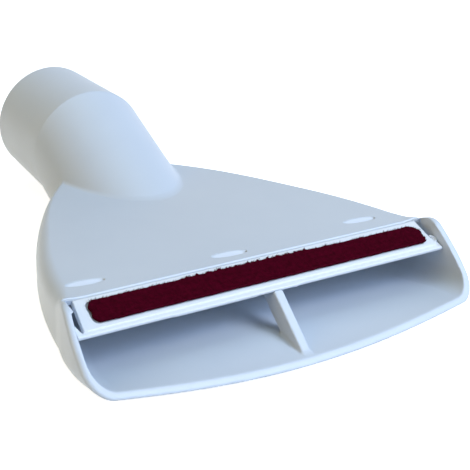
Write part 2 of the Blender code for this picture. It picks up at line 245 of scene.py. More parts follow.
RAGGED_END = 13.0
RAGGED_FADE = 5.0
RAGGED_REACH = 0.12
RAGGED_SIZE = 0.9
RAGGED_WAVE = (17, (3.1, 1.7, 1.0), 1.0)

# The pile's tufts: each range is (least, most), each lean (mean, spread)
PILE_TUFTS = 9000
PILE_SEED = 21
PILE_LENGTH = 0.55
PILE_LENGTH_SHARES = (0.55, 1.0)
PILE_WIDTHS = (0.09, 0.17)
PILE_TURNS = (0.0, 2.1)
PILE_X_LEAN = (0.12, 0.3)
PILE_S_LEAN = (-0.05, 0.3)
PILE_STRAY_ZONE = 0.5
PILE_CALM_SHARE = 0.35
PILE_PAST_EDGE = 0.05
PILE_MARGIN = 0.8
PILE_FRONT_MARGIN = 0.6
PILE_RIGHT_MARGIN = 1.6
PILE_ROOT_DEPTH = 0.25
PILE_TIP_DROP = 0.2
THIRD_TURN = 2.0944

# The materials: linear colours, noise as (scale per metre, detail, roughness), bump heights in metres
BODY_COLOURS = ((0.56, 0.615, 0.69), (0.535, 0.59, 0.67))
BODY_ROUGHNESS = 0.34
# Painted light: the recesses' floors get a lighter base colour than the plastic round them. This is a
# painted highlight for their slopes that face the lamps. The mask is an ellipsoid round each recess.
RECESS_PAINTED_LIGHT = (0.69, 0.745, 0.84)
RECESS_MASK_DEPTH = 0.3
RECESS_MASK_HALF_HEIGHT = 1.6
RECESS_MASK_FADE = (0.8, 1.05)
# Painted light: the carrier's white is set lighter than the body's plastic, standing in for the light on
# its faces that tilt towards the lamps
CARRIER_COLOURS_WITH_PAINTED_LIGHT = ((0.72, 0.75, 0.79), (0.70, 0.73, 0.775))
CARRIER_ROUGHNESS = 0.38
PLASTIC_PATCHES = (35.0, 4.0, 0.55)
PLASTIC_PATCH_ENDS = (0.3, 0.7)
PLASTIC_SMUDGES = (60.0, 5.0, 0.6)
PLASTIC_SMOOTHER = 0.06
PLASTIC_ROUGHER = 0.08
PLASTIC_GRAIN = (2600.0, 2.0, 0.5)
PLASTIC_GRAIN_STRENGTH = 0.06
PLASTIC_GRAIN_HEIGHT = 0.0001
PLASTIC_IOR = 1.46
VELOUR_COLOURS = ((0.040, 0.0005, 0.005), (0.075, 0.0008, 0.010))
VELOUR_CLUMPS = (900.0, 3.0, 0.65)
VELOUR_CLUMP_ENDS = (0.3, 0.75)
VELOUR_ROUGHNESS = (0.85, 1.0)
VELOUR_FIBRES = (2400.0, 3.0, 0.5)
VELOUR_FIBRE_STRENGTH = 0.5
VELOUR_FIBRE_HEIGHT = 0.0002
VELOUR_SHEEN = 0.03
VELOUR_SHEEN_TINT = (0.5, 0.1, 0.12)
VELOUR_SPECULAR = 0.03

# The sockets of a Mix node that mixes colours
MIX_FACTOR = 0
MIX_FIRST = 6
MIX_SECOND = 7
MIX_RESULT = 2

# The studio: places in metres, powers in watts. A lamp is (place, side, power, colour)
WHITE = (1.0, 1.0, 1.0)
FLOOR_HALF = 3.0
FLOOR_PARTS = 24
FLOOR_Z = -0.0004
FLOOR_COLOUR = (0.8, 0.8, 0.8)
FLOOR_ROUGHNESS = 0.9
FLOOR_SPECULAR = 0.1
FLOOR_GLOW = 0.8
WORLD_COLOUR = (0.9, 0.94, 1.0)
WORLD_STRENGTH = 0.18
LAMP_AIM = (0.0, 0.0, 0.01)
LAMPS = {
    "key": ((0.50, -0.80, 0.62), 0.7, 10.2, (0.55, 0.71, 1.0)),
    "high_key": ((0.47, -0.57, 0.86), 0.4, 2.6, WHITE),
    "top": ((0.0, 0.0, 0.95), 1.0, 1.8, (0.7, 1.0, 1.0)),
    "front": ((0.15, -0.95, 0.35), 0.5, 1.5, (0.85, 0.95, 1.0)),
    "fill": ((-0.85, 0.0, 0.35), 0.7, 2.5, (1.0, 0.72, 0.28)),
}

# The camera, fitted to the photograph, its place in millimetres
FRAME_PIXELS = 470.0
CAMERA_FOCUS_PIXELS = 1260.126
CAMERA_SENSOR = 36.0
CAMERA_CLIP = (0.01, 20.0)
CAMERA_PLACE = (-174.3, -256.1, 156.75)
CAMERA_RIGHT = (0.8437, -0.5361, 0.0283)
CAMERA_UP = (0.1866, 0.3422, 0.9209)

# The grids on which the surfaces are found, as (low, high, step), and the most triangles of each piece
BODY_X_GRID = (-61.6, 61.6, 0.44)
BODY_U_GRID = ((-30.2, -4.2, 0.5), (-4.2, 11.4, 0.26), (11.4, 134.6, 0.5))
BODY_Z_GRID = ((-0.6, 12.4, 0.5), (12.4, 15.4, 0.3), (15.4, 21.4, 0.25), (21.4, 41.4, 0.5))
BODY_TRIANGLES = 190000
CARRIER_GRID = ((-58.0, 58.6, 0.22), (-0.3, 12.4, 0.2), (-2.4, 0.6, 0.15))
CARRIER_TRIANGLES = 90000
VELOUR_GRID = ((-54.0, 54.4, 0.25), (0.6, 10.0, 0.2), (-0.6, 1.4, 0.15))
VELOUR_TRIANGLES = 60000

# Blocks of the grid, and how far one must lie from the surface to be filled with one value
BLOCK_PLACES = 12
BLOCK_SAFETY = 1.5
BLOCK_MARGIN = 1.0

# How the points settle onto the surface: FIRST_SETTLE and SECOND_SETTLE are shares of the grid's step
GRADIENT_STEP = 0.02
LEAST_SLOPE_SQUARE = 0.2
FIRST_SETTLE = 0.5
FIRST_ROUNDS = 3
SECOND_SETTLE = 0.3
SECOND_ROUNDS = 2
TINY = 1e-9


def tan(angle):
    return math.tan(math.radians(angle))


def direction(angle):
    return math.cos(math.radians(angle)), math.sin(math.radians(angle))


def smooth(t):
    t = np.clip(t, 0.0, 1.0)
    return t * t * (3.0 - 2.0 * t)


def cut(a, b, radius):
    """Signed distance to the overlap of two shapes, with the edge between them rounded."""
    inner = np.minimum(-radius, np.maximum(a, b))
    return inner + np.hypot(np.maximum(radius + a, 0.0), np.maximum(radius + b, 0.0))


def join(a, b, radius):
    """Signed distance to the union of two shapes, with a fillet where they meet."""
    outer = np.maximum(radius, np.minimum(a, b))
    return outer - np.hypot(np.maximum(radius - a, 0.0), np.maximum(radius - b, 0.0))


def polygon(u, z, corners):
    """Signed distance to a convex polygon in the (u, z) plane, its corners in either order."""
    area = sum(a[0] * b[1] - b[0] * a[1] for a, b in zip(corners, corners[1:] + corners[:1]))
    sign = 1.0 if area > 0.0 else -1.0
    result = None
    for a, b in zip(corners, corners[1:] + corners[:1]):
        du, dz = b[0] - a[0], b[1] - a[1]
        length = math.hypot(du, dz)
        side = sign * (dz * (u - a[0]) - du * (z - a[1])) / length
        result = side if result is None else np.maximum(result, side)
    return result


def panel_height(u):
    return PANEL_HEIGHT - tan(PANEL_FALL) * u


def wall_height(x, u):
    """Top of the shell: the panel, and in front of it the side walls, which rise beside the strip."""
    beside = smooth((np.abs(x) - EAR_START_X) / (MOUTH_HALF_WIDTH - EAR_START_X))
    ears = EAR_LIFT * beside * smooth((EAR_LIFT_START - u) / EAR_LIFT_LENGTH)
    return panel_height(u) + np.maximum(EAR_RISE * smooth(-u / EAR_RISE_LENGTH), ears)


def fan_half_width(u):
    """Plan outline: the mouth's width, drawn in along a cubic towards the spigot's root."""
    share = np.maximum(u - FLANK_START, 0.0) / (SPIGOT_ROOT_U - FLANK_START)
    drawn = (1.0 - FLANK_LATE) * share ** 2 + FLANK_LATE * share ** 3
    return MOUTH_HALF_WIDTH + (FLANK_END_HALF_WIDTH - MOUTH_HALF_WIDTH) * drawn


def floor_height(x, u):
    """Underside of the fan: bellied at the lip, and raised a little behind it."""
    behind = u - RIM_LIP_U
    lift = FLOOR_LIFT * smooth(behind / FLOOR_LIFT_LENGTH)
    sink = (u - FLOOR_SINK_START_SHARE * SPIGOT_ROOT_U) / (FLOOR_SINK_LENGTH_SHARE * SPIGOT_ROOT_U)
    lift = lift * (1.0 - smooth(sink))
    belly = BELLY * (1.0 - smooth(behind / BELLY_LENGTH))
    share = np.minimum((x / MOUTH_HALF_WIDTH) ** 2, 1.0)
    return lift * (1.0 - share) + belly * share


def bottom_corner(u):
    share = smooth((u - RIM_LIP_U) / BOTTOM_CORNER_LENGTH)
    return BOTTOM_CORNER + (BOTTOM_CORNER_BEHIND - BOTTOM_CORNER) * share


def lean(u):
    """0 behind the strip, 1 beside it, where the mouth's sides are uneven."""
    return smooth((LEAN_START - u) / LEAN_LENGTH)


def flare(x, u, z, inset):
    """How far the mouth's sides spread in front. The left side leans out, the right wall is thicker."""
    raised = smooth((z - RIGHT_LEAN_BOTTOM) / RIGHT_LEAN_HEIGHT)
    uneven = np.where(x < 0.0, LEFT_LEAN, RIGHT_LEAN * (1.0 - inset / WALL) * raised)
    return FLARE * (1.0 - smooth(1.0 - u / FLARE_START)) + uneven * lean(u)


def top_corner(u):
    growth = smooth((u - TOP_CORNER_START) / TOP_CORNER_LENGTH)
    radius = TOP_CORNER_AT_MOUTH + (TOP_CORNER - TOP_CORNER_AT_MOUTH) * growth
    share = smooth((u / SPIGOT_ROOT_U - TOP_CORNER_NECK_START_SHARE) / TOP_CORNER_NECK_LENGTH_SHARE)
    return radius - (TOP_CORNER - TOP_CORNER_AT_NECK) * share


def fan_distance(x, u, z, inset):
    """The flat fan, drawn in by an inset for its hollow."""
    top = z - (wall_height(x, u) - inset)
    side = np.abs(x) - (fan_half_width(u) + flare(x, u, z, inset) - inset)
    bottom = floor_height(x, u) + inset - z
    shape = cut(top, side, np.maximum(top_corner(u) - inset, LEAST_TOP_CORNER))
    return cut(shape, bottom, bottom_corner(u) - BOTTOM_CORNER_INSET_SHARE * inset)


def along_spigot(u, z):
    """How far a point lies along the spigot's axis, from the crease."""
    c, s = direction(SPIGOT_RISE)
    return (u - SPIGOT_ROOT_U) * c + (z - SPIGOT_AXIS_HEIGHT) * s


def tube_distance(x, u, z, inner):
    """The tapered spigot, and in front of its crease the neck that turns down from it."""
    back, rise = u - SPIGOT_ROOT_U, z - SPIGOT_AXIS_HEIGHT
    root = SPIGOT_ROOT_RADIUS - (SPIGOT_ROOT_WALL if inner else 0.0)
    tip = SPIGOT_TIP_RADIUS - (SPIGOT_TIP_WALL if inner else 0.0)
    c, s = direction(SPIGOT_RISE)
    length = back * c + rise * s
    spigot = np.hypot(x, rise * c - back * s) - (root + (tip - root) * length / SPIGOT_LENGTH)
    c, s = direction(NECK_ANGLE)
    along = -(back * c + rise * s)
    front = NECK_FRONT_RADIUS - (WALL if inner else 0.0)
    radius = root + (front - root) * np.clip(along / NECK_RUN, 0.0, 1.0)
    squash = math.cos(math.radians(NECK_ANGLE - CREASE_LEAN))
    neck = (np.hypot(x, (rise * c - back * s) / squash) - radius) * squash
    ahead = -(back + rise * tan(CREASE_LEAN))
    share = smooth(0.5 + 0.5 * ahead / CREASE_ROUNDING)
    return neck * share + spigot * (1.0 - share)


def hollow_distance(x, u, z, inner):
    """Fan, neck and spigot in one: their outside, or with inner the space within them."""
    inset = WALL if inner else 0.0
    tube = tube_distance(x, u, z, inner)
    tube = np.where(u < SPIGOT_ROOT_U, np.maximum(tube, floor_height(x, u) + inset - z), tube)
    raised = (z - FILLET_START_SHARE * PANEL_HEIGHT) / (FILLET_RISE_SHARE * PANEL_HEIGHT)
    return join(fan_distance(x, u, z, inset), tube, LEAST_FILLET + NECK_FILLET * smooth(raised))


def on_strip(s, t):
    """(u, z) of a point (s, t) of the strip's own frame."""
    c, k = direction(STRIP_ANGLE)
    return -s * c - t * k, PANEL_HEIGHT - s * k + t * c


def strip_place(u, z):
    """(s, t) of a point (u, z)."""
    c, k = direction(STRIP_ANGLE)
    return -u * c - (z - PANEL_HEIGHT) * k, -u * k + (z - PANEL_HEIGHT) * c


def recess_distance(x, u, z, middle):
    """A lens-shaped cutter, deepest at its front edge, round a middle (x, u) on the panel."""
    cx, cu = middle
    along = np.clip((x - cx) / RECESS_HALF_LENGTH, -RECESS_CLIP, RECESS_CLIP)
    across = u - cu + RECESS_TURN * (x - cx)
    reach = RECESS_HALF_WIDTH * np.sqrt(np.maximum(1.0 - along ** 2, 0.0))
    past_end = RECESS_HALF_LENGTH * (np.abs(along) - 1.0)
    lens = RECESS_SLOPE * np.maximum(np.abs(across) - reach, past_end)
    share = np.clip(0.5 - 0.5 * across / np.maximum(reach, RECESS_LEAST_REACH), 0.0, 1.0)
    depth = (RECESS_BACK_DEPTH + RECESS_DEPTH * share) * (1.0 + RECESS_DEEPER_ON_RIGHT * along)
    return np.maximum(lens, panel_height(u) - depth - z)


def with_shelf(shape, x, u, z):
    """The shape, with the shelf that carries the strip."""
    ramp = (SHELF_RAMP_U, panel_height(SHELF_RAMP_U) - 0.5 * WALL)
    back_top = (SHELF_BACK_U, panel_height(SHELF_BACK_U) - 0.5 * WALL)
    back_bottom = (SHELF_BACK_U, panel_height(SHELF_BACK_U) - 1.5 * WALL)
    shelf = [on_strip(SHELF_FRONT, SHELF_TOP + SHELF_FRONT_STEP), ramp, back_top, back_bottom,
             on_strip(SHELF_BACK_S, SHELF_TOP - SHELF_THICKNESS),
             on_strip(SHELF_FRONT, SHELF_TOP - SHELF_THICKNESS)]
    share = np.clip((u - SHELF_GAP_START) / SHELF_GAP_LENGTH, 0.0, 1.0)
    spread = MOUTH_HALF_WIDTH - WALL - SHELF_END_GAP * (1.0 + SHELF_GAP_GROWTH * share)
    return join(shape, cut(polygon(u, z, shelf), np.abs(x) - spread, SHELF_ROUNDING), SHELF_FILLET)


def with_rib(shape, x, u, z):
    """The shape, with the slanted rib from the mouth's floor up to the shelf and the carrier's lip."""
    s, t = strip_place(u, z)
    c, k = direction(RIB_ANGLE)
    front = (u - RIB_FOOT_U) * k - (z - WALL - float(floor_height(0.0, RIB_FOOT_U))) * c
    top = z - on_strip(CARRIER_WIDTH + LIP_REACH, RIB_TOP_T)[1]
    upper = np.maximum(np.minimum(top, t - SHELF_TOP), -s - RIB_BEHIND_GROOVE)
    slab = np.maximum(np.maximum(-front, front - RIB_DEPTH), upper)
    slab = np.maximum(slab, floor_height(x, u) + 0.5 * WALL - z)
    return join(shape, cut(slab, np.abs(x) - RIB_HALF_THICKNESS, RIB_ROUNDING), RIB_FILLET)


def bay_distance(x, u, z):
    """The open bay that the carrier lies in, its left side uneven."""
    s, t = strip_place(u, z)
    notch = RELIEF_HEIGHT - CARRIER_THICKNESS - CLEARANCE
    level = np.where(s < SHELF_FRONT + CLEARANCE, SHELF_TOP, notch)
    bay = np.maximum(np.maximum(-s, level - t), s - (CARRIER_WIDTH + LIP_REACH + CLEARANCE))
    line = BAY_LEFT_WAVE * np.sin(BAY_LEFT_WAVE_RATE * s - BAY_LEFT_WAVE_PHASE)
    left = LEFT_LEAN * lean(u) + line * smooth(s / BAY_LEFT_WAVE_START) - BAY_LEFT_INSET
    reach = MOUTH_HALF_WIDTH - WALL - BAY_SIDE_INSET + np.where(x < 0.0, left, 0.0)
    return np.maximum(bay, np.abs(x) - reach)


def body_distance(x, u, z):
    """The moulded body: shell, shelf, rib, open bay, slanting rim and recesses, all edges rounded."""
    end = along_spigot(u, z) - SPIGOT_LENGTH
    outer = cut(hollow_distance(x, u, z, False), end, SPIGOT_END_ROUNDING)
    c, k = direction(RIM_ANGLE)
    before = z * c - (u - RIM_LIP_U) * k
    behind_rim = RIM_END_SLOPE * np.maximum(u - RIM_END_U, 0.0)
    rim = cut(before, z - wall_height(x, u) - behind_rim, RIM_EAR_RADIUS)
    outer = cut(outer, rim, RIM_ROUNDING)
    shape = cut(outer, -hollow_distance(x, u, z, True), RIM_INNER_ROUNDING)
    shape = with_rib(with_shelf(shape, x, u, z), x, u, z)
    shape = cut(shape, -bay_distance(x, u, z), BAY_ROUNDING)
    near = np.abs(z - panel_height(u)) < RECESS_ZONE
    for middle in RECESSES:
        recessed = cut(shape, -recess_distance(x, u, z, middle), RECESS_ROUNDING)
        shape = np.where(near, recessed, shape)
    return shape


def wave(x, seed, lengths, size):
    """A smooth wavy line of random phase, the same on each run."""
    draw = random.Random(seed)
    total = 0.0
    for length in lengths:
        phase = draw.uniform(0.0, MOST_PHASE)
        total = total + math.sqrt(length / lengths[0]) * np.sin(2.0 * math.pi * x / length + phase)
    return size * total / len(lengths)


def lip_distance(x, s, t):
    """The carrier's front lip: thicker along its middle, and reaching back in a wedge at its left end."""
    low = -CARRIER_THICKNESS
    swell = smooth((x - LIP_SWELL_LEFT) / LIP_SWELL_LEFT_LENGTH)
    swell = LIP_SWELL * swell * (1.0 - smooth((x - LIP_SWELL_RIGHT) / LIP_SWELL_RIGHT_LENGTH))
    share = np.clip((s - LIP_SIDES_START) / LIP_SIDES_LENGTH, 0.0, 1.0)
    half = LIP_BACK_HALF + (LIP_FRONT_HALF - LIP_BACK_HALF) * share
    wedge = WEDGE_TIP_S + WEDGE_SLOPE * (x + LIP_FRONT_HALF + LEFT_LEAN)
    wedge = np.minimum(wedge + WEDGE_WAVE * np.sin(WEDGE_WAVE_RATE * x), CARRIER_WIDTH)
    back = np.where(x < WEDGE_REACH - LIP_BACK_HALF, wedge, CARRIER_WIDTH - LIP_BACK_STEP)
    lip = np.maximum(s - (CARRIER_WIDTH + LIP_REACH + swell), LIP_BACK_SLOPE * (back - s))
    lip = cut(lip, np.maximum(t + LIP_DROP, low + LIP_DROP - t), LIP_ROUNDING)
    return cut(lip, np.abs(x) - half - np.where(x < 0.0, LEFT_LEAN, 0.0), LIP_END_ROUNDING)


def hook_distance(x, s, t):
    """The small curl at the carrier's right end."""
    across = x - (CARRIER_FRONT_HALF - HOOK_INSET)
    ring = np.abs(np.hypot(across, s - HOOK_S) - HOOK_RADIUS) - HOOK_HALF_WIDTH
    ring = np.maximum(ring, -across - HOOK_OVERLAP)
    return cut(ring, np.abs(t + HOOK_DROP) - HOOK_HALF_HEIGHT, HOOK_ROUNDING)


def pocket_distance(x, s, t):
    """The pocket that holds the velour."""
    ends = np.abs(x - POCKET_X) - VELOUR_HALF - POCKET_END_GAP
    sides = np.abs(s - VELOUR_START - 0.5 * VELOUR_WIDTH) - 0.5 * VELOUR_WIDTH - POCKET_SIDE_GAP
    return np.maximum(cut(ends, sides, POCKET_CORNER), -POCKET_DEPTH - t)


def carrier_distance(x, s, t):
    """The strip carrier in the strip's own frame: bar, lip, hook, pocket and the relief over the rib."""
    low = -CARRIER_THICKNESS
    share = np.clip(s / CARRIER_WIDTH, 0.0, CARRIER_TAPER_END)
    half = CARRIER_BACK_HALF + (CARRIER_FRONT_HALF - CARRIER_BACK_HALF) * share
    bar = np.maximum(np.maximum(CARRIER_BACK - s, s - CARRIER_WIDTH), np.abs(x) - half)
    bar = cut(bar, np.maximum(t, low - t), CARRIER_ROUNDING)
    shape = join(bar, lip_distance(x, s, t), LIP_FILLET)
    shape = join(shape, hook_distance(x, s, t), HOOK_FILLET)
    shape = cut(shape, -pocket_distance(x, s, t), POCKET_ROUNDING)
    front = np.maximum(CARRIER_WIDTH - RELIEF_BEHIND_FRONT - s, t - (low + RELIEF_HEIGHT))
    return cut(shape, -np.maximum(np.abs(x) - RELIEF_HALF, front), RELIEF_ROUNDING)


def velour_outline(x, s):
    """Signed distance, seen from above, to the velour's edge: ragged behind, chipped on the right."""
    setback = VELOUR_BACK_SETBACK * smooth((x - VELOUR_SETBACK_START) / VELOUR_SETBACK_LENGTH)
    back = VELOUR_START - VELOUR_OVERLAP + wave(x, *VELOUR_BACK_WAVE) + setback
    ragged = smooth((x - RAGGED_START) / RAGGED_FADE) * (1.0 - smooth((x - RAGGED_END) / RAGGED_FADE))
    back = back - ragged * (RAGGED_REACH + RAGGED_SIZE * np.maximum(wave(x, *RAGGED_WAVE), 0.0))
    front = VELOUR_START + VELOUR_WIDTH + VELOUR_OVERLAP + wave(x, *VELOUR_FRONT_WAVE)
    left = -VELOUR_HALF + VELOUR_OVERLAP - x + wave(s, *VELOUR_LEFT_WAVE)
    chip = CHIP_SLOPE * np.maximum(CHIP_END_S - s, 0.0)
    right = x - VELOUR_HALF - VELOUR_RIGHT_REACH + wave(s, *VELOUR_RIGHT_WAVE) + chip
    shape = cut(np.maximum(back - s, s - front), left, VELOUR_LEFT_CORNER)
    return cut(shape, right, VELOUR_RIGHT_CORNER)


def velour_distance(x, s, t):
    """The velour's backing, its top a little lumpy."""
    lumps = wave(x, *VELOUR_LUMPS_ALONG) + wave(s, *VELOUR_LUMPS_ACROSS)
    slab = np.maximum(t - VELOUR_TOP - lumps, VELOUR_BOTTOM - t)
    return cut(velour_outline(x, s), slab, VELOUR_ROUNDING)


def evaluate(distance, axes, block=BLOCK_PLACES):
    """Distances on a grid. A block that the surface doesn't reach only gets the value at its middle."""
    ends = [[(a[n], a[min(n + block, len(a)) - 1]) for n in range(0, len(a), block)] for a in axes]
    middles = [np.array([0.5 * (low + high) for low, high in e]) for e in ends]
    halves = [np.array([0.5 * (high - low) for low, high in e]) for e in ends]
    value = distance(*np.meshgrid(*middles, indexing="ij"))
    reach = np.sqrt(sum(h ** 2 for h in np.meshgrid(*halves, indexing="ij")))
    out = np.empty([len(a) for a in axes], np.float32)
    for place in np.ndindex(value.shape):
        part = tuple(slice(block * n, block * n + block) for n in place)
        if abs(value[place]) > BLOCK_SAFETY * reach[place] + BLOCK_MARGIN:
            out[part] = value[place]
        else:
            out[part] = distance(*np.meshgrid(*[a[p] for a, p in zip(axes, part)], indexing="ij"))
    return out


def surface_net(values, axes):
    """Quads round the zero level of a grid of distances, one vertex in each cell that it crosses."""
    inside = values < 0.0
    shape = tuple(n - 1 for n in values.shape)
    corner_sum = np.zeros(shape, np.int8)
    for i in (0, 1):
        for j in (0, 1):
            for k in (0, 1):
                corner_sum += inside[i:i + shape[0], j:j + shape[1], k:k + shape[2]]
    cells = np.argwhere((corner_sum > 0) & (corner_sum < 8))
    number = np.full(shape, -1, np.int64)
    number[tuple(cells.T)] = np.arange(len(cells))
    total = np.zeros((len(cells), 3))
    count = np.zeros(len(cells))
    corners = [(i, j, k) for i in (0, 1) for j in (0, 1) for k in (0, 1)]
    for a in corners:
        for axis in range(3):
            if a[axis]:
                continue
            b = tuple(1 if n == axis else a[n] for n in range(3))
            at_a = cells + np.array(a)
            at_b = cells + np.array(b)
            va = values[tuple(at_a.T)].astype(float)
            vb = values[tuple(at_b.T)].astype(float)
            crossing = (va < 0.0) != (vb < 0.0)
            share = np.where(crossing, va / np.where(crossing, va - vb, 1.0), 0.0)
            point = [axes[n][at_a[:, n]] for n in range(3)]
            point[axis] = point[axis] + share * (axes[axis][at_b[:, axis]] - axes[axis][at_a[:, axis]])
            total += np.where(crossing[:, None], np.stack(point, 1), 0.0)
            count += crossing
    points = total / count[:, None]
    quads = []
    for axis in range(3):
        lower = [slice(1, -1)] * 3
        upper = [slice(1, -1)] * 3
        lower[axis] = slice(0, -1)
        upper[axis] = slice(1, None)
        low_in, high_in = inside[tuple(lower)], inside[tuple(upper)]
        p, q = [n for n in range(3) if n != axis]
        for outward in (True, False):
            edges = np.argwhere(low_in & ~high_in if outward else ~low_in & high_in)
            base = edges.copy()
            base[:, p] += 1
            base[:, q] += 1
            ring = []
            for dp, dq in ((0, 0), (-1, 0), (-1, -1), (0, -1)):
                cell = base.copy()
                cell[:, p] += dp
                cell[:, q] += dq
                ring.append(number[tuple(cell.T)])
            ring = np.stack(ring, 1)
            flip = outward == (axis == 1)
            quads.append(ring[:, ::-1] if flip else ring)
    return points, np.concatenate(quads)


def gradient(distance, points, step=GRADIENT_STEP):
    """Slope of a distance function at each point."""
    result = np.empty_like(points)
    for axis in range(3):
        ahead, behind = points.copy(), points.copy()
        ahead[:, axis] += step
        behind[:, axis] -= step
        result[:, axis] = (distance(*ahead.T) - distance(*behind.T)) / (2.0 * step)
    return result


def settle(distance, points, limit, rounds):
    """Moves points onto the surface along its normal, by no more than limit a round."""
    for _ in range(rounds):
        value = distance(*points.T)
        slope = gradient(distance, points)
        square = np.maximum((slope ** 2).sum(1), LEAST_SLOPE_SQUARE)
        move = -(value / square)[:, None] * slope
        length = np.linalg.norm(move, axis=1)
        points = points + move * np.minimum(1.0, limit / np.maximum(length, TINY))[:, None]
    return points


def mesh_from(name, points, faces):
    mesh = bpy.data.meshes.new(name)
    mesh.vertices.add(len(points))
    mesh.vertices.foreach_set("co", np.ascontiguousarray(points, np.float32).ravel())
    size = faces.shape[1]
    mesh.loops.add(faces.size)
    mesh.loops.foreach_set("vertex_index", np.ascontiguousarray(faces, np.int32).ravel())
    mesh.polygons.add(len(faces))
    mesh.polygons.foreach_set("loop_start", np.arange(0, faces.size, size, dtype=np.int32))
    mesh.update(calc_edges=True)
    return mesh


def coordinates(mesh):
    flat = np.empty(len(mesh.vertices) * 3, np.float32)
    mesh.vertices.foreach_get("co", flat)
    return flat.reshape(-1, 3).astype(float)


def to_world(points):
    """Points (x, u, z) in millimetres as world coordinates in metres."""
    return (points + np.array([0.0, GROOVE_Y, 0.0])) * MM


def strip_to_world(points):
    """Points (x, s, t) in millimetres as world coordinates in metres."""
    u, z = on_strip(points[:, 1], points[:, 2])
    return to_world(np.stack([points[:, 0], u, z], 1))


def vector_to_world(vectors, on_the_strip):
    """Directions of either frame as world directions."""
    if not on_the_strip:
        return vectors
    c, k = direction(STRIP_ANGLE)
    x, s, t = vectors.T
    return np.stack([x, -s * c - t * k, -s * k + t * c], 1)


def build(name, distance, axes, most_triangles, on_the_strip=False):
    """A fine mesh of a distance function: surface net, fewer faces where flat, settled, smooth normals."""
    step = min(axes[0][1] - axes[0][0], axes[2][1] - axes[2][0])
    points, quads = surface_net(evaluate(distance, axes), axes)
    points = settle(distance, points, FIRST_SETTLE * step, FIRST_ROUNDS)
    if on_the_strip:
        quads = quads[:, ::-1]
    mesh = mesh_from(name, points, quads)
    item = bpy.data.objects.new(name, mesh)
    bpy.context.scene.collection.objects.link(item)
    triangles = 2 * len(quads)
    if triangles > most_triangles:
        reduce = item.modifiers.new("reduce", "DECIMATE")
        reduce.ratio = most_triangles / triangles
        evaluated = item.evaluated_get(bpy.context.evaluated_depsgraph_get())
        mesh = bpy.data.meshes.new_from_object(evaluated)
        item.modifiers.clear()
        item.data = mesh
        mesh.name = name
        points = settle(distance, coordinates(mesh), SECOND_SETTLE * step, SECOND_ROUNDS)
    normals = gradient(distance, points)
    normals /= np.maximum(np.linalg.norm(normals, axis=1), TINY)[:, None]
    world = strip_to_world(points) if on_the_strip else to_world(points)
    mesh.vertices.foreach_set("co", np.ascontiguousarray(world, np.float32).ravel())
    mesh.update()
    mesh.shade_smooth()
    mesh.normals_split_custom_set_from_vertices(vector_to_world(normals, on_the_strip).tolist())
    print(name, len(mesh.polygons), "faces")
    return item


def grid(low, high, step):
    return np.linspace(low, high, int(round((high - low) / step)) + 1)


def stepped(*stretches):
    """Grid places along (low, high, step) stretches, each of which starts where the last one ends."""
    return np.concatenate([grid(*stretch)[:-1] for stretch in stretches] + [[stretches[-1][1]]])


def build_pile(material):
    """Short leaning tufts that stand all over the velour, and stray past its edge."""
    draw = random.Random(PILE_SEED)
    corners, faces = [], []
    while len(faces) < 3 * PILE_TUFTS:
        x = draw.uniform(-VELOUR_HALF - PILE_MARGIN, VELOUR_HALF + PILE_RIGHT_MARGIN)
        s = draw.uniform(VELOUR_START - PILE_MARGIN, VELOUR_START + VELOUR_WIDTH + PILE_FRONT_MARGIN)
        edge = float(velour_outline(np.float64(x), np.float64(s)))
        if edge > PILE_PAST_EDGE:
            continue
        height = PILE_LENGTH * draw.uniform(*PILE_LENGTH_SHARES)
        stray = 1.0 if edge > -PILE_STRAY_ZONE else PILE_CALM_SHARE
        lean_x = draw.gauss(*PILE_X_LEAN) * stray
        lean_s = draw.gauss(*PILE_S_LEAN) * stray
        width = draw.uniform(*PILE_WIDTHS)
        turn = draw.uniform(*PILE_TURNS)
        first = len(corners)
        for i in range(3):
            a = turn + i * THIRD_TURN
            root = (x + width * math.cos(a), s + width * math.sin(a), VELOUR_TOP - PILE_ROOT_DEPTH)
            corners.append(root)
        corners.append((x + lean_x, s + lean_s, VELOUR_TOP - PILE_TIP_DROP + height))
        for i in range(3):
            faces.append((first + (i + 1) % 3, first + i, first + 3))
    mesh = mesh_from("velour_pile", strip_to_world(np.array(corners)), np.array(faces))
    mesh.shade_smooth()
    item = bpy.data.objects.new("velour_pile", mesh)
    bpy.context.scene.collection.objects.link(item)
    mesh.materials.append(material)
    return item


